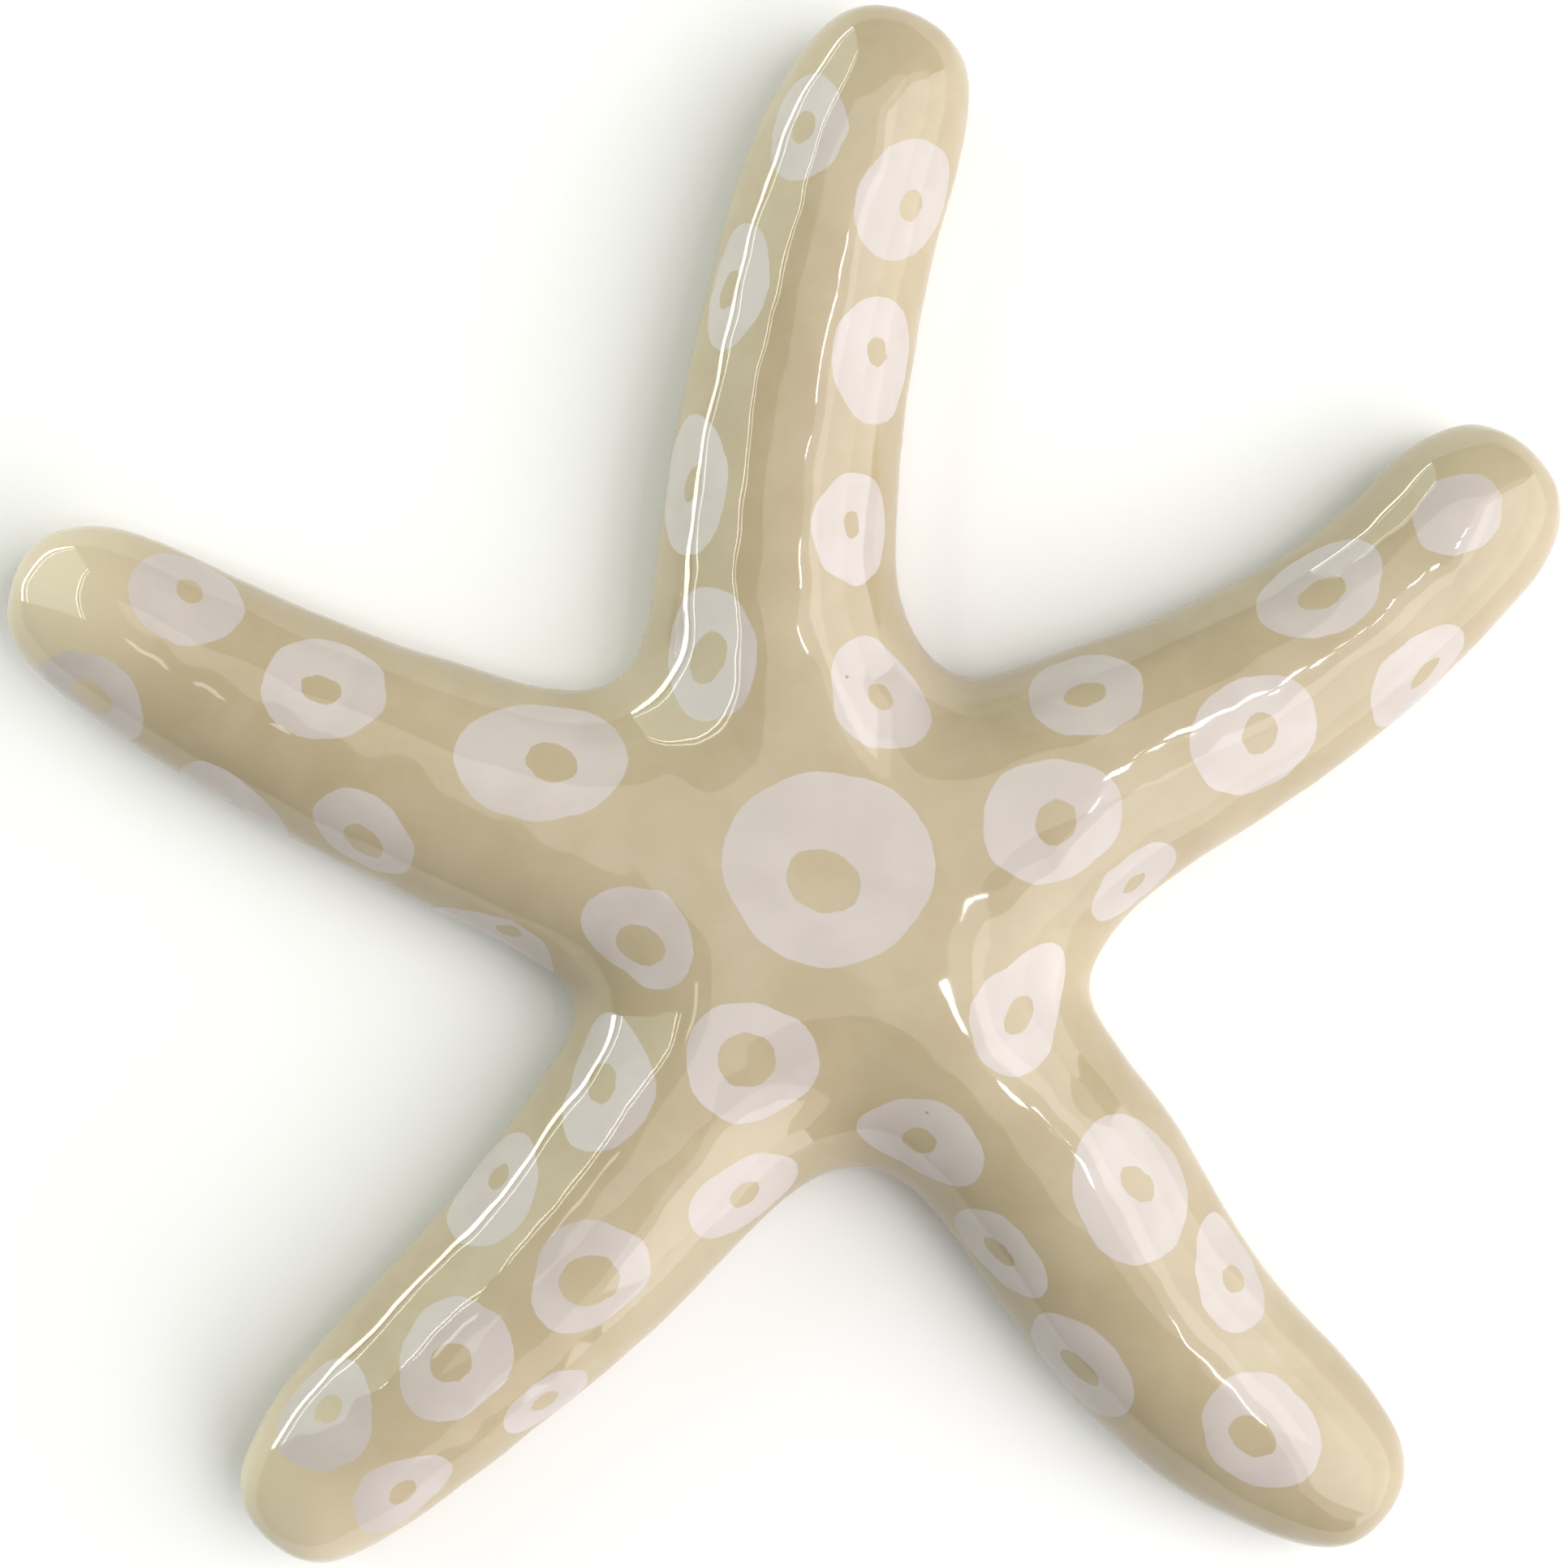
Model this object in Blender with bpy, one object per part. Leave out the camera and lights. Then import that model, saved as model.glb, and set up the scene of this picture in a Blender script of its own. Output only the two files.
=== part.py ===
"""Glazed ceramic starfish, lying on its flat underside.

Five curved arms grow out of a low domed middle, all in one cast piece. The model is in metres, +Z is up,
and the origin lies on the table under the middle of the footprint. Seen from above, +Y points along the
longest arm and +X to its right.

A coarse cage gives the form: an eight-sided section is drawn out along each arm from a five-sided hub.
The cage is subdivided, and then the rounded underside is cut flat.
"""

import math

import bmesh
import bpy
from mathutils import Vector

MM = 0.001

# Section of an arm, in millimetres or as a share of the half width there. Above its widest line the section
# is nearly round, and below it the belly is shallower, as deep as this on any section that is wide enough.
WIDEST_LEVEL = 10.5
CREST_RISE = 0.92
BELLY_DEPTH = 12.0
FULL_BELLY_HALF_WIDTH = 15.0
SECTION_CORNERS = 8

# A smoothed eight-sided section is smaller than its cage, which is made larger by this much
CAGE_GROWTH = 1.108

# Cage of the middle, in millimetres
HUB_CENTRE = (6.5, -20.5)
HUB_TOP = 32.5
ROOT_CREST = 34.5
HUB_SHOULDER = 26.5
HUB_BELLY = -2.8
HUB_LOW_SHOULDER = -2.0

# How far out from the centre the hub's cage corners lie, as a share of the way to an arm's root or a notch
ROOT_CREST_REACH = 0.62
SHOULDER_REACH = 0.66
LOW_SHOULDER_REACH = 0.80

# Cage corner in each notch between two arms, as x and y in millimetres
NOTCHES = {
    "north_east": (33.5, 20.5),
    "east_south_east": (57.2, -36.8),
    "south": (12.2, -71.0),
    "west_south_west": (-39.0, -38.5),
    "north_west": (-30.5, 22.0),
}

# Mid-line of each arm from its root to the small section that rounds off its tip, as x, y and half width
# in millimetres
ARMS = {
    "north": (
        (-1.8, 31.0, 22.4),
        (-1.0, 47.0, 21.4),
        (1.5, 66.5, 20.4),
        (5.5, 86.5, 19.7),
        (10.0, 105.5, 19.1),
        (16.3, 121.3, 18.3),
        (24.0, 139.4, 12.0),
    ),
    "east": (
        (53.0, 0.5, 24.0),
        (67.0, 7.0, 21.8),
        (84.5, 16.0, 19.9),
        (101.0, 26.8, 18.1),
        (114.5, 38.8, 17.1),
        (124.5, 50.2, 17.4),
        (135.3, 59.8, 10.5),
    ),
    "south_east": (
        (41.5, -59.5, 22.0),
        (52.0, -72.7, 22.8),
        (60.5, -87.0, 21.9),
        (70.5, -100.5, 20.9),
        (83.0, -112.2, 19.4),
        (94.5, -120.3, 17.3),
        (108.8, -131.8, 11.0),
    ),
    "south_west": (
        (-22.0, -62.7, 23.6),
        (-32.8, -76.2, 22.7),
        (-46.5, -91.0, 21.0),
        (-60.0, -103.5, 19.7),
        (-73.5, -115.5, 18.2),
        (-82.5, -124.5, 16.2),
        (-93.5, -136.0, 10.5),
    ),
    "west": (
        (-49.2, -4.5, 22.2),
        (-64.0, 1.5, 21.3),
        (-83.5, 9.5, 19.8),
        (-101.5, 18.5, 18.4),
        (-116.5, 27.0, 17.2),
        (-126.0, 32.8, 16.2),
        (-139.3, 36.8, 9.5),
    ),
}

# Fineness of the finished surface
SMOOTHING_LEVELS = 2

# Cutting block that leaves the underside flat, in millimetres
CUTTER_SIZE = (400.0, 400.0, 60.0)

# Finish
GLAZE_COLOUR = (0.60, 0.51, 0.34, 1.0)
GLAZE_ROUGHNESS = 0.15


def clear_scene():
    """Remove whatever the scene holds."""
    for old in list(bpy.data.objects):
        bpy.data.objects.remove(old, do_unlink=True)


def glaze_material():
    """The glossy sand-coloured glaze."""
    material = bpy.data.materials.new("glaze")
    material.use_nodes = True
    shader = material.node_tree.nodes["Principled BSDF"]
    shader.inputs["Base Color"].default_value = GLAZE_COLOUR
    shader.inputs["Roughness"].default_value = GLAZE_ROUGHNESS
    shader.inputs["Metallic"].default_value = 0.0
    return material


def headings(points):
    """The direction of a mid-line at each of its points."""
    found = []
    for index in range(len(points)):
        before = points[max(index - 1, 0)]
        after = points[min(index + 1, len(points) - 1)]
        found.append((after - before).normalized())
    return found


def section(middle, heading, half_width):
    """The corners of a section square to an arm, from its crest round by the left side."""
    left = Vector((-heading.y, heading.x, 0.0))
    crest_rise = CREST_RISE * half_width
    belly_depth = BELLY_DEPTH * min(1.0, half_width / FULL_BELLY_HALF_WIDTH)
    corners = []
    for step in range(SECTION_CORNERS):
        turn = step * math.tau / SECTION_CORNERS
        reach = crest_rise if math.cos(turn) > 0.0 else belly_depth
        aside = left * (half_width * math.sin(turn))
        up = Vector((0.0, 0.0, reach * math.cos(turn)))
        corners.append(middle + CAGE_GROWTH * (aside + up))
    return corners


def arm_sections(stations):
    """The sections along one arm, from its root to its tip."""
    middles = [Vector((x, y, WIDEST_LEVEL)) for x, y, half_width in stations]
    half_widths = [half_width for x, y, half_width in stations]
    return [section(*each) for each in zip(middles, headings(middles), half_widths)]


def hub_corner(bm, place, reach, height):
    """A hub vertex on the line from the centre to a place, at a share of the way and a height."""
    point = Vector(HUB_CENTRE).lerp(Vector(place), reach)
    return bm.verts.new((point.x, point.y, height))


def build_hub(bm):
    """The five-sided middle, and the eight-sided mouth that each arm is drawn out of."""
    top = hub_corner(bm, HUB_CENTRE, 0.0, HUB_TOP)
    bottom = hub_corner(bm, HUB_CENTRE, 0.0, HUB_BELLY)

    crests, undersides = [], []
    for stations in ARMS.values():
        root = stations[0][:2]
        crests.append(hub_corner(bm, root, ROOT_CREST_REACH, ROOT_CREST))
        undersides.append(hub_corner(bm, root, ROOT_CREST_REACH, HUB_BELLY))

    shoulders, sides, low_shoulders = [], [], []
    for notch in NOTCHES.values():
        shoulders.append(hub_corner(bm, notch, SHOULDER_REACH, HUB_SHOULDER))
        sides.append(hub_corner(bm, notch, 1.0, WIDEST_LEVEL))
        low_shoulders.append(hub_corner(bm, notch, LOW_SHOULDER_REACH, HUB_LOW_SHOULDER))

    # Arm i lies between notch i - 1 and notch i, and both lists run clockwise from the north
    mouths = []
    for i in range(len(crests)):
        after = (i + 1) % len(crests)
        bm.faces.new((top, crests[i], shoulders[i], crests[after]))
        bm.faces.new((bottom, undersides[after], low_shoulders[i], undersides[i]))
        mouth = (
            crests[i], shoulders[i - 1], sides[i - 1], low_shoulders[i - 1],
            undersides[i], low_shoulders[i], sides[i], shoulders[i],
        )
        mouths.append(bm.faces.new(mouth))
    return mouths


def draw_out(bm, mouth, sections):
    """Extrude an arm from its mouth through its sections."""
    face = mouth
    for corners in sections:
        face = bmesh.ops.extrude_discrete_faces(bm, faces=[face])["faces"][0]
        for vertex, corner in zip(face.verts, corners):
            vertex.co = corner


def flat_cutter():
    """The block that takes away everything below the table."""
    bm = bmesh.new()
    bmesh.ops.create_cube(bm, size=1.0)
    bmesh.ops.scale(bm, vec=Vector(CUTTER_SIZE) * MM, verts=bm.verts)
    bmesh.ops.translate(bm, vec=(0.0, 0.0, -CUTTER_SIZE[2] / 2 * MM), verts=bm.verts)
    mesh = bpy.data.meshes.new("flat_cutter")
    bm.to_mesh(mesh)
    bm.free()
    cutter = bpy.data.objects.new("flat_cutter", mesh)
    bpy.context.scene.collection.objects.link(cutter)
    cutter.hide_render = True
    cutter.display_type = "WIRE"
    return cutter


def starfish_body():
    """The whole starfish: hub and arms in one solid, smoothed and cut flat underneath."""
    bm = bmesh.new()
    mouths = build_hub(bm)
    for mouth, stations in zip(mouths, ARMS.values()):
        draw_out(bm, mouth, arm_sections(stations))
    bmesh.ops.recalc_face_normals(bm, faces=bm.faces)
    bmesh.ops.scale(bm, vec=(MM, MM, MM), verts=bm.verts)

    mesh = bpy.data.meshes.new("starfish_body")
    bm.to_mesh(mesh)
    bm.free()
    mesh.materials.append(glaze_material())
    mesh.shade_smooth()
    body = bpy.data.objects.new("starfish_body", mesh)
    bpy.context.scene.collection.objects.link(body)

    smoothing = body.modifiers.new("smoothing", "SUBSURF")
    smoothing.levels = SMOOTHING_LEVELS
    smoothing.render_levels = SMOOTHING_LEVELS
    flat_cut = body.modifiers.new("flat_cut", "BOOLEAN")
    flat_cut.operation = "DIFFERENCE"
    flat_cut.solver = "EXACT"
    flat_cut.object = flat_cutter()
    return body


def main():
    """Build the starfish."""
    clear_scene()
    starfish_body()


main()
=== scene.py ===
"""Looks of a glazed ceramic starfish: sand-coloured, painted with white rings, under a thick clear glaze.

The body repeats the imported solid's form more finely, with the slight lumps of a hand-finished casting. The rings
are painted where a maker would measure them: each has a place on the surface and a size over the glaze, in
millimetres. Seen from above, +Y points along the longest arm and +X to its right.
"""

import logging
import math
from dataclasses import dataclass, field
from enum import Enum

import bmesh
import bpy
import numpy as np
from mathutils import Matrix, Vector, noise
from mathutils.bvhtree import BVHTree


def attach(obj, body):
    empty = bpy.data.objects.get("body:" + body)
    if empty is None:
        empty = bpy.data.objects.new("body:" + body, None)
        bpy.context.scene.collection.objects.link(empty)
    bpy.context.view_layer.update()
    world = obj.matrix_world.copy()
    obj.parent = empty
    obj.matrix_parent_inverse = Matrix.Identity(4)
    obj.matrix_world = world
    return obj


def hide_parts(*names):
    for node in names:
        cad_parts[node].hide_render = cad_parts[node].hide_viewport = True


MM = 0.001
TINY = 1e-6
RING_PAINT = "ring_paint"

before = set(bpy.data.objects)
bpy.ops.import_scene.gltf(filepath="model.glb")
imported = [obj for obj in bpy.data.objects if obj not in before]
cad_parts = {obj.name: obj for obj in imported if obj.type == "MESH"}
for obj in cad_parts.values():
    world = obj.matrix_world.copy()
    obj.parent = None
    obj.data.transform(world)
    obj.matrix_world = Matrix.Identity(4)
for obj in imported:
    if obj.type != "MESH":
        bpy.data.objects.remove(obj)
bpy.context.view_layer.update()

log = logging.getLogger("starfish")

Colour = tuple[float, float, float]
Place = tuple[float, float, float]
Station = tuple[float, float, float]


class Arm(Enum):
    """The five arms, clockwise from the longest, each with its mid-line as x, y and half width in millimetres."""

    NORTH = (
        (-1.8, 31.0, 22.4),
        (-1.0, 47.0, 21.4),
        (1.5, 66.5, 20.4),
        (5.5, 86.5, 19.7),
        (10.0, 105.5, 19.1),
        (16.3, 121.3, 18.3),
        (24.0, 139.4, 12.0),
    )
    EAST = (
        (53.0, 0.5, 24.0),
        (67.0, 7.0, 21.8),
        (84.5, 16.0, 19.9),
        (101.0, 26.8, 18.1),
        (114.5, 38.8, 17.1),
        (124.5, 50.2, 17.4),
        (135.3, 59.8, 10.5),
    )
    SOUTH_EAST = (
        (41.5, -59.5, 22.0),
        (52.0, -72.7, 22.8),
        (60.5, -87.0, 21.9),
        (70.5, -100.5, 20.9),
        (83.0, -112.2, 19.4),
        (94.5, -120.3, 17.3),
        (108.8, -131.8, 11.0),
    )
    SOUTH_WEST = (
        (-22.0, -62.7, 23.6),
        (-32.8, -76.2, 22.7),
        (-46.5, -91.0, 21.0),
        (-60.0, -103.5, 19.7),
        (-73.5, -115.5, 18.2),
        (-82.5, -124.5, 16.2),
        (-93.5, -136.0, 10.5),
    )
    WEST = (
        (-49.2, -4.5, 22.2),
        (-64.0, 1.5, 21.3),
        (-83.5, 9.5, 19.8),
        (-101.5, 18.5, 18.4),
        (-116.5, 27.0, 17.2),
        (-126.0, 32.8, 16.2),
        (-139.3, 36.8, 9.5),
    )


class Notch(Enum):
    """The cage corner between each arm and the next, clockwise, as x and y in millimetres."""

    NORTH_EAST = (33.5, 20.5)
    EAST_SOUTH_EAST = (57.2, -36.8)
    SOUTH = (12.2, -71.0)
    WEST_SOUTH_WEST = (-39.0, -38.5)
    NORTH_WEST = (-30.5, 22.0)


@dataclass(frozen=True)
class Outline:
    """The outline of one brush mark, in millimetres over the glaze: an oval that may narrow to a blunt point.

    Headings are in degrees, counter-clockwise from +X as seen from above.
    """

    length: float
    width: float
    heading: float
    point: float = 0.0
    point_heading: float = 0.0

    def radius(self, angle: np.ndarray) -> np.ndarray:
        """Give the outline's distance from its centre.

        Args:
            angle: the headings to measure along, in radians.

        Returns:
            The distance along each heading, in millimetres.
        """
        turned = angle - math.radians(self.heading)
        oval = 0.5 / np.hypot(np.cos(turned) / self.length, np.sin(turned) / self.width)
        return oval * (1.0 + self.point * np.cos(3.0 * (angle - math.radians(self.point_heading))))


@dataclass(frozen=True)
class Ring:
    """One painted ring: its place on the surface, its rim, and its bare middle with how far that lies off centre."""

    place: Place
    rim: Outline
    hole_offset: tuple[float, float] = (0.0, 0.0)
    hole: Outline | None = None


RINGS = (
    # The middle and the roots of the arms
    Ring((7.7, -14.5, 32.7), Outline(36.6, 33.6, 175, 0.02, 27), (-0.9, -2.3), Outline(13.5, 10.7, 157)),
    Ring((41.4, -39.4, 28.1), Outline(25.5, 16.0, 55, 0.10, 46), (-0.4, -0.8), Outline(8.0, 4.8, 53)),
    Ring((24.1, -62.5, 26.4), Outline(23.1, 16.4, 165, 0.05, 71), (-0.6, -0.1), Outline(6.4, 5.5, 8)),
    Ring((-5.7, -48.2, 31.8), Outline(23.3, 21.1, 173, 0.04, 7), (-0.7, 0.4), Outline(10.3, 9.6, 175)),
    Ring((-25.2, -26.3, 29.7), Outline(21.6, 16.4, 149, 0.06, 58), (0.1, -1.8), Outline(9.4, 7.0, 161)),
    # North arm, right side from its tip, then left side from its tip
    Ring((22.3, 102.6, 23.9), Outline(24.2, 18.7, 40, 0.03, 117), (0.4, -1.1), Outline(6.0, 4.8, 51)),
    Ring((16.6, 74.3, 24.3), Outline(22.5, 18.2, 85, 0.02, 28), (-0.1, 1.4), Outline(5.2, 4.5, 100)),
    Ring((12.6, 44.7, 25.9), Outline(19.8, 16.8, 79, 0.01, 53), (-0.7, 0.6), Outline(5.1, 3.3, 95)),
    Ring((16.8, 15.5, 27.8), Outline(21.4, 17.7, 125, 0.04, 108), (0.1, -0.3), Outline(5.6, 4.3, 135)),
    Ring((3.6, 115.3, 25.2), Outline(20.3, 14.9, 90, 0.04, 111), (-0.4, -0.2), Outline(6.1, 4.7, 82)),
    Ring((-8.9, 87.6, 22.9), Outline(23.0, 14.4, 80, 0.02, 103), (-1.2, -0.5), Outline(7.2, 4.9, 64)),
    Ring((-17.0, 52.9, 22.5), Outline(25.5, 17.4, 96, 0.02, 42), (1.1, -0.2), Outline(7.0, 3.6, 73)),
    Ring((-13.3, 22.7, 27.9), Outline(23.6, 18.2, 96, 0.01, 49), (-0.1, -0.7), Outline(9.7, 6.8, 63)),
    # East arm from its tip, where the first is a solid spot
    Ring((118.0, 47.4, 25.9), Outline(16.7, 14.0, 36, 0.01, 96)),
    Ring((93.9, 34.6, 24.5), Outline(23.7, 17.7, 33, 0.02, 78), (0.3, -1.2), Outline(9.0, 5.5, 26)),
    Ring((111.9, 18.1, 20.8), Outline(22.3, 17.0, 57, 0.07, 45), (1.5, 1.2), Outline(7.1, 3.6, 52)),
    Ring((82.1, 8.2, 28.5), Outline(24.0, 21.0, 27, 0.01, 54), (0.8, 0.5), Outline(7.7, 6.3, 74)),
    Ring((52.3, 16.7, 26.5), Outline(20.5, 18.6, 165, 0.03, 115), (0.2, -1.0), Outline(7.5, 5.0, 12)),
    Ring((46.3, -6.4, 32.0), Outline(24.8, 21.8, 15, 0.03, 17), (0.7, -0.3), Outline(8.2, 7.1, 72)),
    Ring((61.8, -17.6, 22.7), Outline(18.8, 13.2, 47, 0.01, 72), (0.1, -0.2), Outline(5.1, 3.3, 50)),
    # South-east arm from its tip
    Ring((83.3, -113.2, 28.1), Outline(23.2, 19.2, 133, 0.02, 98), (-1.7, -0.5), Outline(9.2, 6.6, 142)),
    Ring((51.5, -103.0, 22.6), Outline(22.8, 18.8, 129, 0.02, 105), (0.3, 0.4), Outline(9.0, 4.7, 142)),
    Ring((78.5, -85.5, 24.1), Outline(21.6, 15.3, 93, 0.02, 102), (0.5, -1.2), Outline(5.3, 4.9, 26)),
    Ring((37.3, -82.2, 24.0), Outline(20.6, 13.6, 145, 0.05, 75), (0.1, 0.1), Outline(7.2, 3.7, 145)),
    Ring((61.0, -70.0, 29.3), Outline(26.3, 22.3, 102, 0.03, 16), (0.7, 0.6), Outline(7.6, 5.2, 139)),
    # South-west arm from its tip
    Ring((-67.4, -125.2, 23.2), Outline(20.2, 14.4, 46, 0.08, 25), (0.5, 0.7), Outline(5.9, 4.4, 57)),
    Ring((-80.8, -110.7, 24.7), Outline(20.9, 18.2, 48, 0.05, 76), (0.9, 1.3), Outline(5.9, 4.7, 33)),
    Ring((-41.4, -109.4, 20.7), Outline(17.3, 12.9, 31, 0.04, 81), (-0.7, 0.6), Outline(5.4, 4.3, 33)),
    Ring((-57.4, -100.1, 28.9), Outline(22.8, 19.4, 61, 0.04, 1), (-0.5, -0.5), Outline(7.7, 6.7, 26)),
    Ring((-33.7, -85.6, 30.0), Outline(22.3, 19.0, 44, 0.06, 120), (0.0, -0.7), Outline(10.7, 9.4, 10)),
    Ring((-51.9, -70.8, 22.5), Outline(22.0, 20.5, 52, 0.01, 54), (1.4, 1.9), Outline(5.1, 4.7, 39)),
    Ring((-6.4, -72.4, 24.4), Outline(22.3, 16.0, 15, 0.03, 83), (-0.4, 0.5), Outline(5.9, 5.3, 29)),
    Ring((-31.1, -52.2, 28.1), Outline(24.6, 17.5, 89, 0.09, 109), (-0.9, 0.3), Outline(7.5, 5.7, 95)),
    # West arm from its tip
    Ring((-123.6, 14.7, 19.2), Outline(25.0, 19.0, 8, 0.04, 81), (1.8, 1.0), Outline(8.4, 7.0, 144)),
    Ring((-104.9, 33.8, 22.7), Outline(21.6, 19.4, 121, 0.03, 79), (0.4, 0.5), Outline(5.7, 4.6, 110)),
    Ring((-98.7, -3.6, 15.4), Outline(22.0, 19.1, 147, 0.05, 98), (-0.5, -2.5), Outline(6.0, 4.6, 20)),
    Ring((-80.2, 17.3, 27.0), Outline(21.8, 19.7, 177, 0.02, 93), (-0.5, -0.7), Outline(7.4, 5.2, 160)),
    Ring((-73.7, -9.1, 25.2), Outline(19.9, 15.9, 137, 0.01, 66), (-0.2, -1.3), Outline(8.1, 6.1, 136)),
    Ring((-51.5, -27.8, 14.0), Outline(24.6, 18.7, 162, 0.04, 39), (4.5, 4.9), Outline(5.5, 3.4, 4)),
    Ring((-42.1, 5.0, 28.4), Outline(30.0, 23.4, 2, 0.02, 76), (1.7, -1.1), Outline(9.3, 7.3, 157)),
)


@dataclass
class RingPainter:
    """Paints rings on a finished surface by writing how far inside a ring each point lies. It works in millimetres.

    A ring reaches only points that are near it and face roughly its way. Where there is no paint, the depth stops
    at minus far. A few waves round an outline, each of a random push, make it uneven, and a hole is evener.
    """

    points: np.ndarray
    normals: np.ndarray
    tree: BVHTree
    reach: float = 30.0
    least_facing: float = -0.2
    least_bend_share: float = 0.1
    far: float = 4.0
    unevenness: float = 0.10
    least_push: float = 0.4
    fewest_waves: int = 4
    most_waves: int = 9
    hole_evenness: float = 0.7
    seed: int = 11

    def local(self, place: Place) -> tuple[np.ndarray, np.ndarray, np.ndarray]:
        """Measure the points near a place over the surface, as if it were laid flat.

        Args:
            place: a point on or near the surface, in millimetres.

        Returns:
            The numbers of the points near it, and how far each lies from it towards +X and towards +Y.
        """
        spot, normal = self.tree.find_nearest(Vector(place))[:2]
        turn = Vector((0.0, 0.0, 1.0)).rotation_difference(normal)
        east = np.array(turn @ Vector((1.0, 0.0, 0.0)))
        north = np.array(turn @ Vector((0.0, 1.0, 0.0)))
        offsets = self.points - np.array(spot)
        chords = np.linalg.norm(offsets, axis=1)
        facing = self.normals @ np.array(normal)
        near = np.flatnonzero((chords < self.reach) & (facing > self.least_facing))

        # A chord across a curved surface is shorter than the way over it, by this much on a round bar
        bend = np.arccos(np.clip(facing[near], -1.0, 1.0)) / 2.0
        over = chords[near] / np.maximum(np.sinc(bend / math.pi), self.least_bend_share)
        right = offsets[near] @ east
        up = offsets[near] @ north
        stretch = over / np.maximum(np.hypot(right, up), TINY)
        return near, right * stretch, up * stretch

    def uneven(self, angle: np.ndarray, rng: np.random.Generator) -> np.ndarray:
        """Give the small bumps and flats that a hand leaves along an outline.

        Args:
            angle: the headings to measure along, in radians.
            rng: the source of the unevenness.

        Returns:
            How far the outline is pushed out along each heading, in millimetres.
        """
        push = np.zeros_like(angle)
        for waves in range(self.fewest_waves, self.most_waves + 1):
            phase = rng.uniform(0.0, math.tau)
            push += self.unevenness * rng.uniform(self.least_push, 1.0) * np.cos(waves * angle + phase)
        return push

    def inside(self, ring: Ring, rng: np.random.Generator) -> tuple[np.ndarray, np.ndarray]:
        """Measure how far inside a ring's paint the points near it lie.

        Args:
            ring: the ring.
            rng: the source of its unevenness.

        Returns:
            The numbers of the points near it, and their depths in the paint in millimetres, below 0 outside it.
        """
        near, right, up = self.local(ring.place)
        angle = np.arctan2(up, right)
        depth = ring.rim.radius(angle) + self.uneven(angle, rng) - np.hypot(right, up)
        if ring.hole:
            right = right - ring.hole_offset[0]
            up = up - ring.hole_offset[1]
            angle = np.arctan2(up, right)
            push = self.hole_evenness * self.uneven(angle, rng)
            from_hole = np.hypot(right, up) - ring.hole.radius(angle) - push
            depth = np.minimum(depth, from_hole)
        return near, depth

    def paint(self, mesh: bpy.types.Mesh, rings: tuple[Ring, ...]) -> None:
        """Write the depth in the paint on every point of a mesh.

        Args:
            mesh: the mesh to paint.
            rings: the rings on it.
        """
        rng = np.random.default_rng(self.seed)
        depths = np.full(len(self.points), -self.far)
        for ring in rings:
            near, depth = self.inside(ring, rng)
            depths[near] = np.maximum(depths[near], depth)
        layer = mesh.attributes.new(RING_PAINT, "FLOAT", "POINT")
        layer.data.foreach_set("value", np.clip(depths, -self.far, self.far).astype(np.float32))


@dataclass
class NodeSheet:
    """Places and joins the nodes of one material or group, so that a finish reads as a list of steps."""

    tree: bpy.types.NodeTree

    def add(self, kind: str, **values: object) -> bpy.types.Node:
        """Place a node.

        Args:
            kind: the node's type.
            values: its properties, and the values or links of its inputs under their names, with _ for a space.

        Returns:
            The node.
        """
        node = self.tree.nodes.new(kind)
        for name, value in values.items():
            socket = node.inputs.get(name.replace("_", " "))
            if socket is None:
                setattr(node, name, value)
            elif isinstance(value, bpy.types.NodeSocket):
                self.tree.links.new(value, socket)
            else:
                socket.default_value = value
        return node

    def math(self, operation: str, *terms: bpy.types.NodeSocket | float) -> bpy.types.NodeSocket:
        """Work out one step of arithmetic.

        Args:
            operation: the Math node's operation.
            terms: its inputs in order.

        Returns:
            The result.
        """
        node = self.tree.nodes.new("ShaderNodeMath")
        node.operation = operation
        for socket, term in zip(node.inputs, terms):
            if isinstance(term, bpy.types.NodeSocket):
                self.tree.links.new(term, socket)
            else:
                socket.default_value = term
        return node.outputs[0]

    def ramp(self, value: bpy.types.NodeSocket, low: float, high: float) -> bpy.types.NodeSocket:
        """Turn a value into a smooth step from 0 at low to 1 at high.

        Args:
            value: the value.
            low: where the step starts.
            high: where it ends.

        Returns:
            The step.
        """
        node = self.tree.nodes.new("ShaderNodeMapRange")
        node.interpolation_type = "SMOOTHSTEP"
        self.tree.links.new(value, node.inputs["Value"])
        node.inputs["From Min"].default_value = low
        node.inputs["From Max"].default_value = high
        return node.outputs["Result"]

    def mix(self, share: bpy.types.NodeSocket, first: object, second: object) -> bpy.types.NodeSocket:
        """Blend two colours.

        Args:
            share: how much of the second shows.
            first: the first colour, or its link.
            second: the second colour, or its link.

        Returns:
            The blend.
        """
        node = self.tree.nodes.new("ShaderNodeMix")
        node.data_type = "RGBA"
        self.tree.links.new(share, node.inputs["Factor"])
        for socket, colour in ((node.inputs[6], first), (node.inputs[7], second)):
            if isinstance(colour, bpy.types.NodeSocket):
                self.tree.links.new(colour, socket)
            else:
                socket.default_value = (*colour, 1.0)
        return node.outputs[2]


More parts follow.
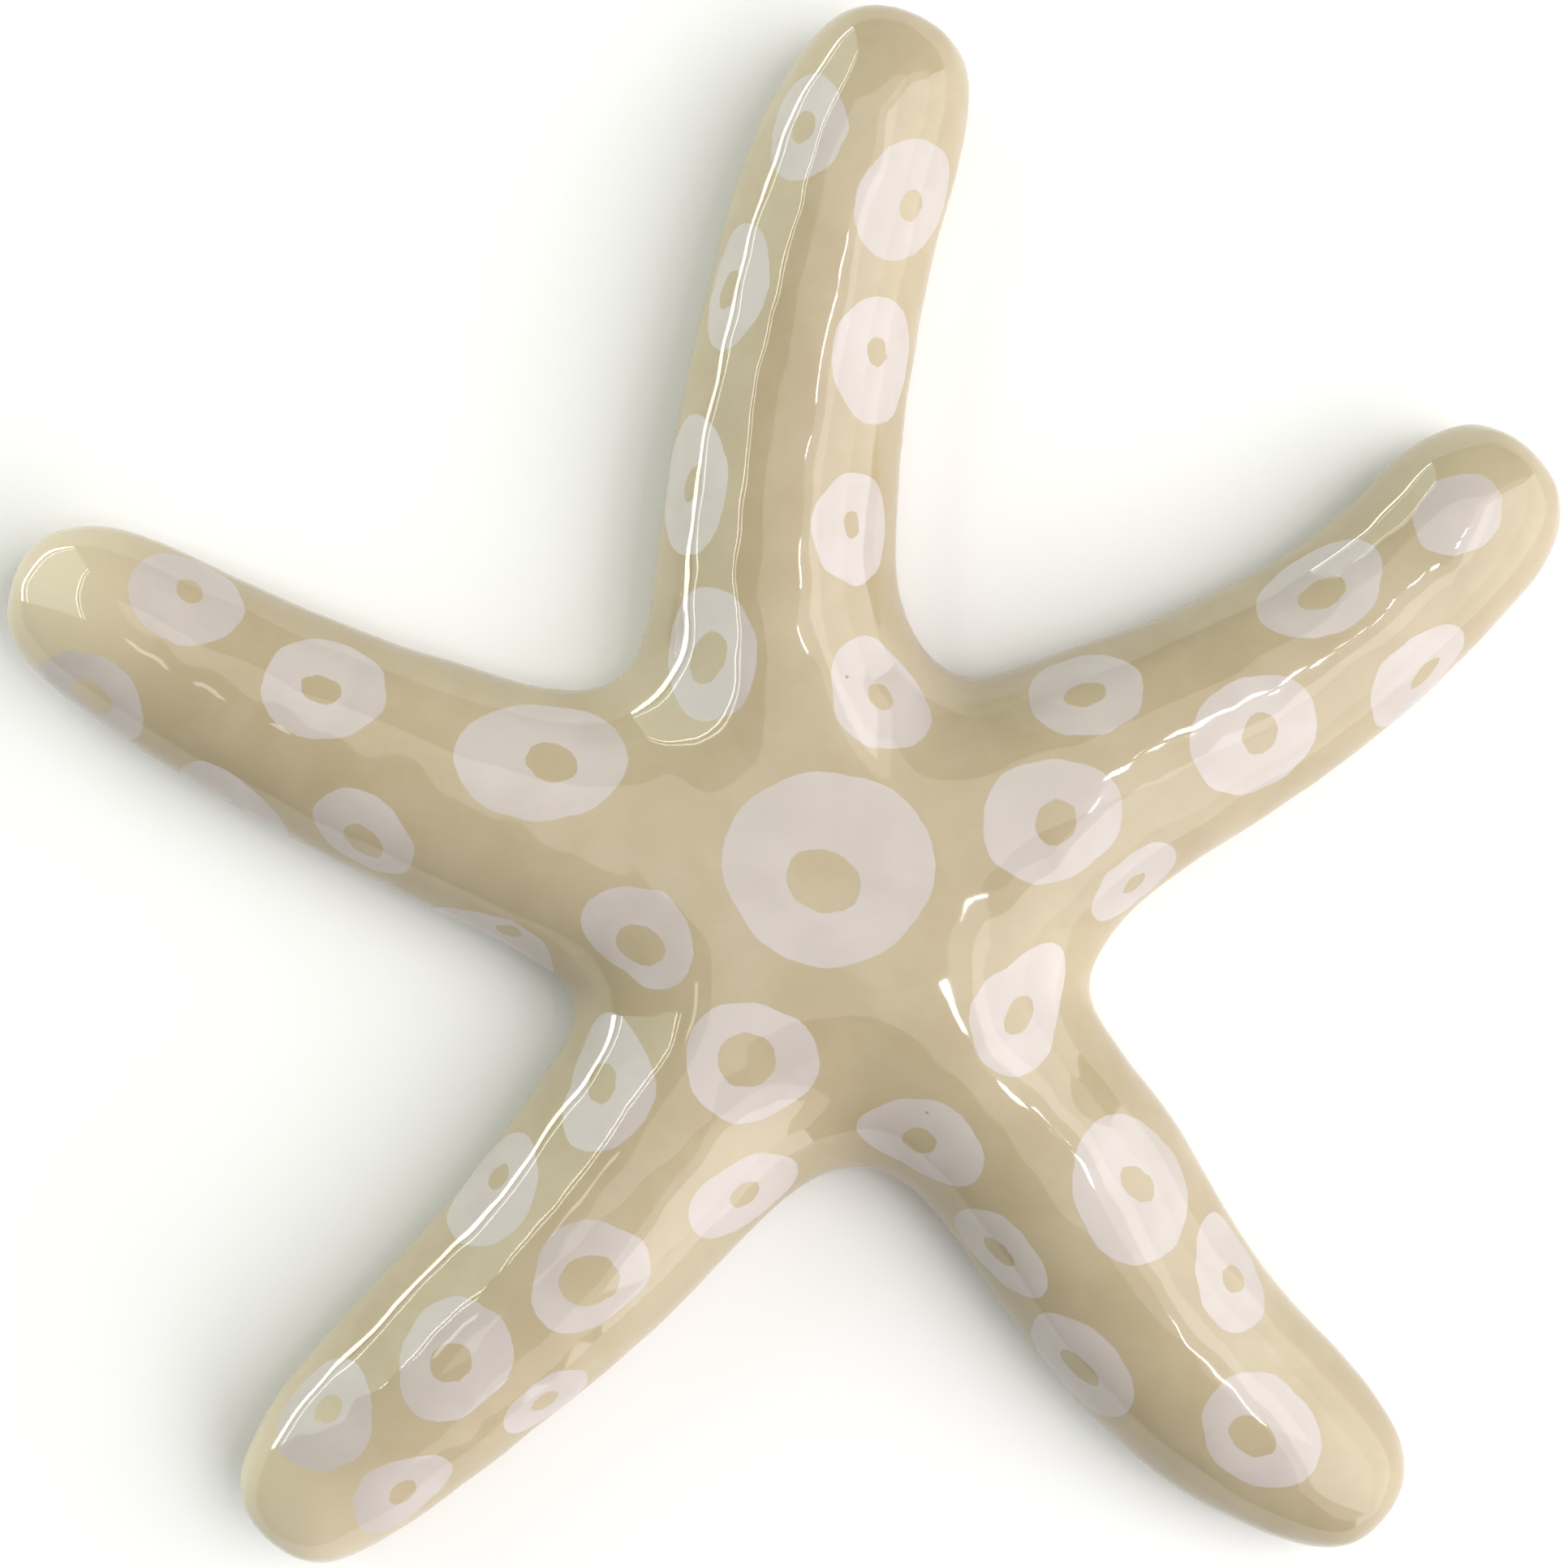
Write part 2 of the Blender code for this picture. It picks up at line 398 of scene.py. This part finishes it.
class SoftCloud:
    """The shared node group of soft cloudy variation, which the glaze and the table both have."""

    NAME = "soft_cloud"
    DETAIL = 3.0
    ROUGHNESS = 0.55
    DISTORTION = 0.4
    STEP = (0.32, 0.68)

    @classmethod
    def group(cls) -> bpy.types.NodeTree:
        """Build the group once, and give it again when asked.

        Returns:
            The group.
        """
        if cls.NAME in bpy.data.node_groups:
            return bpy.data.node_groups[cls.NAME]
        tree = bpy.data.node_groups.new(cls.NAME, "ShaderNodeTree")
        tree.interface.new_socket("Vector", in_out="INPUT", socket_type="NodeSocketVector")
        tree.interface.new_socket("Scale", in_out="INPUT", socket_type="NodeSocketFloat")
        tree.interface.new_socket("Cloud", in_out="OUTPUT", socket_type="NodeSocketFloat")
        sheet = NodeSheet(tree)
        outside = sheet.add("NodeGroupInput")
        cloud = sheet.add(
            "ShaderNodeTexNoise",
            Vector=outside.outputs["Vector"],
            Scale=outside.outputs["Scale"],
            Detail=cls.DETAIL,
            Roughness=cls.ROUGHNESS,
            Distortion=cls.DISTORTION,
        )
        result = sheet.add("NodeGroupOutput")
        tree.links.new(sheet.ramp(cloud.outputs[0], *cls.STEP), result.inputs["Cloud"])
        return tree

    @classmethod
    def place(cls, sheet: NodeSheet, where: bpy.types.NodeSocket, scale: float) -> bpy.types.NodeSocket:
        """Place the group in a material.

        Args:
            sheet: the material's nodes.
            where: the coordinates that it reads.
            scale: how fine it is, in clouds a metre.

        Returns:
            The cloud, from 0 to 1.
        """
        node = sheet.tree.nodes.new("ShaderNodeGroup")
        node.node_tree = cls.group()
        sheet.tree.links.new(where, node.inputs["Vector"])
        node.inputs["Scale"].default_value = scale
        return node.outputs["Cloud"]


@dataclass(frozen=True)
class Variation:
    """One soft variation: how fine it is, in clouds or waves a metre, and how much of it shows."""

    fineness: float
    amount: float


@dataclass(frozen=True)
class PaintedLightEnd:
    """The end of an arm where the sand is painted paler, as painted light falling on it. Its place and distances are
    in metres.
    """

    place: Place
    painted_light_within: float = 0.006
    sand_beyond: float = 0.045


@dataclass(frozen=True)
class CeramicFinish:
    """Sand underglaze and white rings under clear glaze, and dry bare clay where the foot was wiped.

    Amounts are shares of the deeper colour, or heights in millimetres where they move an edge or the surface.
    """

    name: str = "painted_glaze"
    sand: Colour = (0.452, 0.380, 0.255)
    sand_deep: Colour = (0.390, 0.314, 0.196)
    # Painted light: the paler sand that the ends of the south-west and west arms turn to
    sand_painted_light: Colour = (0.600, 0.515, 0.365)
    white: Colour = (0.522, 0.466, 0.434)
    white_thin: Colour = (0.472, 0.418, 0.378)
    speck: Colour = (0.180, 0.120, 0.070)
    clay: Colour = (0.700, 0.610, 0.500)
    gloss: float = 0.05
    dry: float = 0.75
    refraction: float = 1.52
    sand_wide: Variation = Variation(22.0, 0.50)
    sand_fine: Variation = Variation(90.0, 0.40)
    white_cloud: Variation = Variation(70.0, 0.8)
    brush_waver: Variation = Variation(420.0, 0.5)
    brush_edge: float = 0.13
    # Painted light on the ends of the south-west and west arms, which are painted paler
    painted_light_ends: tuple[PaintedLightEnd, ...] = (
        PaintedLightEnd((-0.098, -0.136, 0.015)),
        PaintedLightEnd((-0.137, 0.031, 0.015), sand_beyond=0.040),
    )
    specks_spread: Variation = Variation(75.0, 0.6)
    speck_radii: tuple[float, float] = (0.016, 0.034)
    speckless_share: float = 0.80
    foot_height: float = 0.8
    foot_waver: Variation = Variation(90.0, 1.2)
    foot_edge: float = 0.08
    ripple_wide: Variation = Variation(110.0, 0.030)
    ripple_fine: Variation = Variation(330.0, 0.006)

    def material(self) -> bpy.types.Material:
        """Build the material.

        Returns:
            The material.
        """
        material = bpy.data.materials.new(self.name)
        material.use_nodes = True
        sheet = NodeSheet(material.node_tree)
        shader = material.node_tree.nodes["Principled BSDF"]
        where = sheet.add("ShaderNodeTexCoord").outputs["Object"]
        links = material.node_tree.links

        bare = self.bare_clay(sheet, where)
        mask = self.ring_mask(sheet, where)
        colour = sheet.mix(mask, self.sand_colour(sheet, where), self.white_colour(sheet, where))
        colour = sheet.mix(self.specks(sheet, where), colour, self.speck)
        colour = sheet.mix(bare, colour, self.clay)
        links.new(colour, shader.inputs["Base Color"])
        roughness = sheet.add("ShaderNodeMapRange", To_Min=self.gloss, To_Max=self.dry, Value=bare)
        links.new(roughness.outputs["Result"], shader.inputs["Roughness"])
        links.new(self.ripple(sheet, where), shader.inputs["Normal"])
        shader.inputs["IOR"].default_value = self.refraction
        return material

    def ring_mask(self, sheet: NodeSheet, where: bpy.types.NodeSocket) -> bpy.types.NodeSocket:
        """Mask the painted rings, with the fine waver of a brush along their edges.

        Args:
            sheet: the material's nodes.
            where: the coordinates that it reads.

        Returns:
            1 in the paint and 0 outside it.
        """
        depth = sheet.add("ShaderNodeAttribute", attribute_name=RING_PAINT).outputs["Fac"]
        waver = sheet.add("ShaderNodeTexNoise", Vector=where, Scale=self.brush_waver.fineness, Detail=1.0).outputs[0]
        push = sheet.math("MULTIPLY_ADD", waver, self.brush_waver.amount, -self.brush_waver.amount / 2)
        return sheet.ramp(sheet.math("ADD", depth, push), -self.brush_edge, self.brush_edge)

    def sand_colour(self, sheet: NodeSheet, where: bpy.types.NodeSocket) -> bpy.types.NodeSocket:
        """Colour the sand underglaze, a little deeper where the brush left more, with painted light making it paler
        at two arms' ends.

        Args:
            sheet: the material's nodes.
            where: the coordinates that it reads.

        Returns:
            The colour.
        """
        wide = SoftCloud.place(sheet, where, self.sand_wide.fineness)
        fine = SoftCloud.place(sheet, where, self.sand_fine.fineness)
        wide_share = sheet.math("MULTIPLY", wide, self.sand_wide.amount)
        share = sheet.math("MULTIPLY_ADD", fine, self.sand_fine.amount, wide_share)
        colour = sheet.mix(share, self.sand, self.sand_deep)
        # Painted light: the sand turns paler towards two arms' ends
        for end in self.painted_light_ends:
            distance = sheet.add("ShaderNodeVectorMath", operation="DISTANCE", Vector=where)
            distance.inputs[1].default_value = end.place
            painted_light = sheet.ramp(distance.outputs["Value"], end.sand_beyond, end.painted_light_within)
            colour = sheet.mix(painted_light, colour, self.sand_painted_light)
        return colour

    def white_colour(self, sheet: NodeSheet, where: bpy.types.NodeSocket) -> bpy.types.NodeSocket:
        """Colour the white of the rings, a little thinner in places.

        Args:
            sheet: the material's nodes.
            where: the coordinates that it reads.

        Returns:
            The colour.
        """
        cloud = SoftCloud.place(sheet, where, self.white_cloud.fineness)
        share = sheet.math("MULTIPLY", cloud, self.white_cloud.amount)
        return sheet.mix(share, self.white, self.white_thin)

    def specks(self, sheet: NodeSheet, where: bpy.types.NodeSocket) -> bpy.types.NodeSocket:
        """Scatter a few iron specks in the glaze.

        Args:
            sheet: the material's nodes.
            where: the coordinates that it reads.

        Returns:
            How strongly a speck shows.
        """
        cells = sheet.add("ShaderNodeTexVoronoi", Vector=where, Scale=self.specks_spread.fineness)
        dot = sheet.math("SUBTRACT", 1.0, sheet.ramp(cells.outputs["Distance"], *self.speck_radii))
        chance = sheet.add("ShaderNodeSeparateColor", Color=cells.outputs["Color"]).outputs["Red"]
        rare = sheet.math("GREATER_THAN", chance, self.speckless_share)
        return sheet.math("MULTIPLY", sheet.math("MULTIPLY", dot, rare), self.specks_spread.amount)

    def bare_clay(self, sheet: NodeSheet, where: bpy.types.NodeSocket) -> bpy.types.NodeSocket:
        """Mask the dry foot, up to a wavering line just above the table.

        Args:
            sheet: the material's nodes.
            where: the coordinates that it reads.

        Returns:
            1 on the foot and 0 on the glaze.
        """
        height = sheet.add("ShaderNodeSeparateXYZ", Vector=where).outputs["Z"]
        waver = sheet.add("ShaderNodeTexNoise", Vector=where, Scale=self.foot_waver.fineness, Detail=2.0).outputs[0]
        lowest = self.foot_height - self.foot_waver.amount / 2
        line = sheet.math("MULTIPLY_ADD", waver, self.foot_waver.amount, lowest)
        above = sheet.math("SUBTRACT", sheet.math("DIVIDE", height, MM), line)
        return sheet.math("SUBTRACT", 1.0, sheet.ramp(above, -self.foot_edge, self.foot_edge))

    def ripple(self, sheet: NodeSheet, where: bpy.types.NodeSocket) -> bpy.types.NodeSocket:
        """Give the faint unevenness of a brushed glaze, which breaks up its reflections.

        Args:
            sheet: the material's nodes.
            where: the coordinates that it reads.

        Returns:
            The normal.
        """
        wide = sheet.add("ShaderNodeTexNoise", Vector=where, Scale=self.ripple_wide.fineness, Detail=1.0).outputs[0]
        fine = sheet.add("ShaderNodeTexNoise", Vector=where, Scale=self.ripple_fine.fineness, Detail=1.0).outputs[0]
        fine_height = sheet.math("MULTIPLY", fine, self.ripple_fine.amount)
        height = sheet.math("MULTIPLY_ADD", wide, self.ripple_wide.amount, fine_height)
        bump = sheet.add("ShaderNodeBump", Strength=1.0, Distance=MM, Height=height)
        return bump.outputs["Normal"]


@dataclass(frozen=True)
class TableFinish:
    """Nearly matt white board, faintly cloudy."""

    name: str = "white_board"
    colour: Colour = (0.88, 0.88, 0.88)
    shade: Colour = (0.86, 0.86, 0.86)
    roughness: float = 0.5
    sheen_level: float = 0.2
    cloud_fineness: float = 2.0

    def material(self) -> bpy.types.Material:
        """Build the material.

        Returns:
            The material.
        """
        material = bpy.data.materials.new(self.name)
        material.use_nodes = True
        sheet = NodeSheet(material.node_tree)
        shader = material.node_tree.nodes["Principled BSDF"]
        where = sheet.add("ShaderNodeTexCoord").outputs["Object"]
        colour = sheet.mix(SoftCloud.place(sheet, where, self.cloud_fineness), self.colour, self.shade)
        material.node_tree.links.new(colour, shader.inputs["Base Color"])
        shader.inputs["Roughness"].default_value = self.roughness
        shader.inputs["Specular IOR Level"].default_value = self.sheen_level
        return material


@dataclass
class StarfishBody:
    """The starfish: five arms drawn out of a low domed middle, in one piece. Sizes are in millimetres.

    An arm's section is nearly round above its widest line and shallower below it, and the cage is a little
    larger than the smooth surface that it gives. Reaches are shares of the way from the hub's centre.
    """

    name: str = "starfish_glazed"
    node: str = "starfish_body"
    slot: str = "glaze"

    widest_level: float = 10.5
    crest_rise: float = 0.92
    belly_depth: float = 12.0
    full_belly_half_width: float = 15.0
    section_corners: int = 8
    cage_growth: float = 1.108

    hub_centre: tuple[float, float] = (6.5, -20.5)
    hub_top: float = 32.5
    root_crest: float = 34.5
    hub_shoulder: float = 26.5
    hub_belly: float = -2.8
    hub_low_shoulder: float = -2.0
    root_crest_reach: float = 0.62
    shoulder_reach: float = 0.66
    low_shoulder_reach: float = 0.80

    smoothing_levels: int = 4
    lump_depths: tuple[float, float, float] = (0.32, 0.26, 0.10)
    lump_sizes: tuple[float, float, float] = (26.0, 12.0, 6.5)
    lump_contrast: float = 2.2
    lump_fade: float = 5.0
    sharp_angle: float = 40.0

    finish: CeramicFinish = field(default_factory=CeramicFinish)

    def build(self) -> bpy.types.Object:
        """Build the body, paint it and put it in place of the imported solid.

        Returns:
            The body.
        """
        mesh = self.smoothed(self.cage())
        self.cut_flat(mesh)
        self.lump(mesh)
        self.shade(mesh)
        body = bpy.data.objects.new(self.name, mesh)
        bpy.context.scene.collection.objects.link(body)
        self.painter(mesh).paint(mesh, RINGS)
        mesh.materials.append(self.finish.material())
        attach(body, "root")
        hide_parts(self.node)
        return body

    def hub_corner(
        self, bm: bmesh.types.BMesh, place: tuple[float, ...], reach: float, height: float
    ) -> bmesh.types.BMVert:
        """Add a hub vertex on the line from the centre to a place.

        Args:
            bm: the cage.
            place: the place, of which x and y are read.
            reach: the share of the way from the centre.
            height: how high the vertex lies.

        Returns:
            The vertex.
        """
        point = Vector(self.hub_centre).lerp(Vector(place[:2]), reach)
        return bm.verts.new((point.x, point.y, height))

    def hub(self, bm: bmesh.types.BMesh) -> list[bmesh.types.BMFace]:
        """Build the five-sided middle.

        Args:
            bm: the cage.

        Returns:
            The eight-sided mouths that the arms are drawn out of, clockwise from the north.
        """
        top = self.hub_corner(bm, self.hub_centre, 0.0, self.hub_top)
        bottom = self.hub_corner(bm, self.hub_centre, 0.0, self.hub_belly)
        crests, undersides = [], []
        for arm in Arm:
            crests.append(self.hub_corner(bm, arm.value[0], self.root_crest_reach, self.root_crest))
            undersides.append(self.hub_corner(bm, arm.value[0], self.root_crest_reach, self.hub_belly))
        shoulders, sides, low_shoulders = [], [], []
        for notch in Notch:
            shoulders.append(self.hub_corner(bm, notch.value, self.shoulder_reach, self.hub_shoulder))
            sides.append(self.hub_corner(bm, notch.value, 1.0, self.widest_level))
            low_shoulders.append(self.hub_corner(bm, notch.value, self.low_shoulder_reach, self.hub_low_shoulder))

        # Arm i lies between notch i - 1 and notch i
        mouths = []
        for i in range(len(crests)):
            after = (i + 1) % len(crests)
            bm.faces.new((top, crests[i], shoulders[i], crests[after]))
            bm.faces.new((bottom, undersides[after], low_shoulders[i], undersides[i]))
            left = (shoulders[i - 1], sides[i - 1], low_shoulders[i - 1])
            right = (low_shoulders[i], sides[i], shoulders[i])
            mouths.append(bm.faces.new((crests[i], *left, undersides[i], *right)))
        return mouths

    def section(self, middle: Vector, heading: Vector, half_width: float) -> list[Vector]:
        """Give the corners of a section square to an arm.

        Args:
            middle: the section's middle.
            heading: the way the arm runs there.
            half_width: the section's half width.

        Returns:
            Its corners, from the crest round by the left side.
        """
        left = Vector((-heading.y, heading.x, 0.0))
        belly = self.belly_depth * min(1.0, half_width / self.full_belly_half_width)
        corners = []
        for step in range(self.section_corners):
            turn = step * math.tau / self.section_corners
            reach = self.crest_rise * half_width if math.cos(turn) > 0.0 else belly
            aside = left * (half_width * math.sin(turn))
            up = Vector((0.0, 0.0, reach * math.cos(turn)))
            corners.append(middle + self.cage_growth * (aside + up))
        return corners

    def draw_out(self, bm: bmesh.types.BMesh, mouth: bmesh.types.BMFace, stations: tuple[Station, ...]) -> None:
        """Extrude an arm through its sections.

        Args:
            bm: the cage.
            mouth: the face that the arm starts from.
            stations: the arm's mid-line.
        """
        middles = [Vector((x, y, self.widest_level)) for x, y, half_width in stations]
        face = mouth
        for index, (x, y, half_width) in enumerate(stations):
            before = middles[max(index - 1, 0)]
            after = middles[min(index + 1, len(middles) - 1)]
            corners = self.section(middles[index], (after - before).normalized(), half_width)
            face = bmesh.ops.extrude_discrete_faces(bm, faces=[face])["faces"][0]
            for vertex, corner in zip(face.verts, corners):
                vertex.co = corner

    def cage(self) -> bpy.types.Mesh:
        """Build the coarse cage of the hub and its arms.

        Returns:
            The cage, in metres.
        """
        bm = bmesh.new()
        for mouth, arm in zip(self.hub(bm), Arm):
            self.draw_out(bm, mouth, arm.value)
        bmesh.ops.recalc_face_normals(bm, faces=bm.faces)
        bmesh.ops.scale(bm, vec=(MM, MM, MM), verts=bm.verts)
        mesh = bpy.data.meshes.new(self.name)
        bm.to_mesh(mesh)
        bm.free()
        return mesh

    def smoothed(self, cage: bpy.types.Mesh) -> bpy.types.Mesh:
        """Subdivide the cage.

        Args:
            cage: the cage, which is used up.

        Returns:
            The fine smooth mesh.
        """
        scratch = bpy.data.objects.new("cage", cage)
        bpy.context.scene.collection.objects.link(scratch)
        smoothing = scratch.modifiers.new("smoothing", "SUBSURF")
        smoothing.levels = self.smoothing_levels
        smoothing.render_levels = self.smoothing_levels
        depsgraph = bpy.context.evaluated_depsgraph_get()
        mesh = bpy.data.meshes.new_from_object(scratch.evaluated_get(depsgraph))
        bpy.data.objects.remove(scratch)
        bpy.data.meshes.remove(cage)
        mesh.name = self.name
        return mesh

    def cut_flat(self, mesh: bpy.types.Mesh) -> None:
        """Cut the belly off at the table, and close the cut with one flat face.

        Args:
            mesh: the mesh to cut.
        """
        bm = bmesh.new()
        bm.from_mesh(mesh)
        everything = bm.verts[:] + bm.edges[:] + bm.faces[:]
        down = (0.0, 0.0, -1.0)
        cut = bmesh.ops.bisect_plane(bm, geom=everything, plane_co=(0.0, 0.0, 0.0), plane_no=down, clear_outer=True)
        rim = [part for part in cut["geom_cut"] if isinstance(part, bmesh.types.BMEdge)]
        bmesh.ops.edgeloop_fill(bm, edges=rim)
        bm.to_mesh(mesh)
        bm.free()

    def lump(self, mesh: bpy.types.Mesh) -> None:
        """Sink the surface slightly and unevenly, so that its reflections waver as a casting's do.

        Args:
            mesh: the mesh to work on.
        """
        mesh.update()
        sunk = []
        for vertex in mesh.vertices:
            point = vertex.co / MM
            depth = 0.0
            for deepest, size in zip(self.lump_depths, self.lump_sizes):
                depth += deepest * (0.5 + 0.5 * math.tanh(self.lump_contrast * noise.noise(point / size)))
            fade = min(1.0, point.z / self.lump_fade)
            inward = Vector((vertex.normal.x, vertex.normal.y, vertex.normal.z * fade))
            sunk.append(vertex.co - inward * (depth * fade * MM))
        for vertex, place in zip(mesh.vertices, sunk):
            vertex.co = place

    def shade(self, mesh: bpy.types.Mesh) -> None:
        """Shade the body smooth and its foot flat.

        Args:
            mesh: the mesh to shade.
        """
        mesh.shade_smooth()
        mesh.set_sharp_from_angle(angle=math.radians(self.sharp_angle))
        mesh.update()

    def painter(self, mesh: bpy.types.Mesh) -> RingPainter:
        """Measure the finished surface for the ring painter.

        Args:
            mesh: the finished mesh.

        Returns:
            The painter, in millimetres.
        """
        points = np.empty(len(mesh.vertices) * 3)
        normals = np.empty(len(mesh.vertices) * 3)
        mesh.vertices.foreach_get("co", points)
        mesh.vertices.foreach_get("normal", normals)
        points = points.reshape(-1, 3) / MM
        faces = [tuple(face.vertices) for face in mesh.polygons]
        tree = BVHTree.FromPolygons([Vector(point) for point in points], faces)
        return RingPainter(points, normals.reshape(-1, 3), tree)


@dataclass
class Table:
    """The board that the starfish lies on."""

    half_size: float = 3.0
    finish: TableFinish = field(default_factory=TableFinish)

    def build(self) -> bpy.types.Object:
        """Build the board as part of the stage.

        Returns:
            The board.
        """
        bm = bmesh.new()
        bmesh.ops.create_grid(bm, x_segments=1, y_segments=1, size=self.half_size)
        mesh = bpy.data.meshes.new("table")
        bm.to_mesh(mesh)
        bm.free()
        mesh.materials.append(self.finish.material())
        table = bpy.data.objects.new("table", mesh)
        bpy.context.scene.collection.objects.link(table)
        return table


@dataclass(frozen=True)
class Softbox:
    """One flat studio light that faces a point. Places and sizes are in metres, and its width lies level.

    The renderer spreads a flat light's power so that it takes 4 watts a square metre to show a radiance of 1.
    """

    name: str
    place: Place
    size: tuple[float, float]
    radiance: float
    colour: Colour = (1.0, 1.0, 1.0)
    aim: Place = (0.0, 0.0, 0.0)
    power_of_one: float = 4.0

    def build(self) -> bpy.types.Object:
        """Build the light.

        Returns:
            The light, which the camera doesn't see.
        """
        light = bpy.data.lights.new(self.name, "AREA")
        light.shape = "RECTANGLE"
        light.size, light.size_y = self.size
        light.color = self.colour
        light.energy = self.radiance * self.power_of_one * self.size[0] * self.size[1]
        softbox = bpy.data.objects.new(self.name, light)
        softbox.location = self.place
        softbox.rotation_mode = "QUATERNION"
        softbox.rotation_quaternion = (Vector(self.aim) - Vector(self.place)).to_track_quat("-Z", "Y")
        bpy.context.scene.collection.objects.link(softbox)
        softbox.visible_camera = False
        return softbox


@dataclass
class Studio:
    """The room and its lights.

    The glaze mirrors a bright wall and slope to the right with lamp tubes above them, and to the left a long window
    with a pale frame and a small lamp. A soft light fills in from the ceiling.
    """

    room: Colour = (0.95, 0.96, 1.0)
    room_strength: float = 0.045
    warm: Colour = (1.0, 0.945, 0.915)
    day: Colour = (0.965, 0.985, 1.0)
    window_glass: Colour = (0.82, 1.0, 0.93)
    window_frame: Colour = (1.0, 1.0, 0.88)

    def softboxes(self) -> tuple[Softbox, ...]:
        """Give the lights.

        Returns:
            The lights to the right and above, then those to the left.
        """
        return (
            Softbox("right_wall", (2.0, -1.45, 0.50), (5.1, 1.0), 2.1, self.day, (0.0, -1.45, 0.50)),
            Softbox("right_slope", (1.50, -1.55, 1.85), (5.7, 1.97), 1.05, self.warm, (-0.20, -1.55, 0.85)),
            Softbox("right_slope_near", (1.64, -0.95, 1.66), (3.9, 1.50), 1.72, self.day, (0.34, -0.95, 0.90)),
            Softbox("right_tube", (0.96, 0.41, 2.70), (0.22, 0.05), 24.0, aim=(0.0, 0.41, 0.0)),
            Softbox("right_tube_wide", (0.94, 0.08, 2.70), (0.22, 0.10), 26.0, aim=(0.0, 0.08, 0.0)),
            Softbox("right_tube_near", (1.05, -0.74, 2.70), (0.34, 0.04), 20.0, aim=(0.0, -0.74, 0.0)),
            Softbox("ceiling", (0.75, 0.55, 3.0), (3.0, 3.0), 1.06, self.warm, (0.75, 0.55, 0.0)),
            Softbox("window", (-2.0, 2.60, 1.46), (4.9, 2.38), 1.42, self.window_glass, (0.0, 2.60, 1.55)),
            Softbox("window_top", (-2.0, 2.60, 2.68), (4.9, 0.08), 13.0, self.window_frame, (0.0, 2.60, 2.70)),
            Softbox("window_rail", (-2.0, 2.60, 3.00), (4.9, 0.08), 9.0, self.window_frame, (0.0, 2.60, 3.00)),
            Softbox("window_low", (-2.0, 2.60, 0.09), (4.9, 0.18), 12.0, self.window_frame, (0.0, 2.60, 0.09)),
            Softbox("window_sill", (-1.98, 2.60, 0.44), (4.9, 0.04), 9.0, self.window_frame, (0.0, 2.60, 0.44)),
            Softbox("left_lamp", (-1.27, -0.05, 2.9), (0.14, 0.35), 3.5, aim=(-1.27, -0.05, 0.0)),
        )

    def build(self) -> None:
        """Light the room."""
        world = bpy.data.worlds.new("room")
        world.use_nodes = True
        background = world.node_tree.nodes["Background"]
        background.inputs["Color"].default_value = (*self.room, 1.0)
        background.inputs["Strength"].default_value = self.room_strength
        bpy.context.scene.world = world
        for softbox in self.softboxes():
            softbox.build()
        bpy.context.scene.view_settings.view_transform = "Standard"


@dataclass
class OverheadCamera:
    """The camera, straight above the middle of the starfish.

    Its frame is just wider than the starfish, measured at the frame level, near where the arms are widest.
    """

    height: float = 0.55
    frame_level: float = 0.011
    frame_width: float = 0.28176
    sensor: float = 36.0

    def build(self) -> bpy.types.Object:
        """Build the camera and make it the scene's.

        Returns:
            The camera.
        """
        data = bpy.data.cameras.new("camera")
        data.sensor_width = self.sensor
        data.lens = self.sensor * (self.height - self.frame_level) / self.frame_width
        camera = bpy.data.objects.new("camera", data)
        camera.location = (0.0, 0.0, self.height)
        bpy.context.scene.collection.objects.link(camera)
        bpy.context.scene.camera = camera
        return camera


def main() -> None:
    """Build the starfish, the table, the lights and the camera."""
    logging.basicConfig(level=logging.INFO, format="%(message)s")
    body = StarfishBody().build()
    log.info("%s: %d points, %d rings", body.name, len(body.data.vertices), len(RINGS))
    log.info("%s built", Table().build().name)
    Studio().build()
    log.info("%s built", OverheadCamera().build().name)


if __name__ == "__main__":
    main()
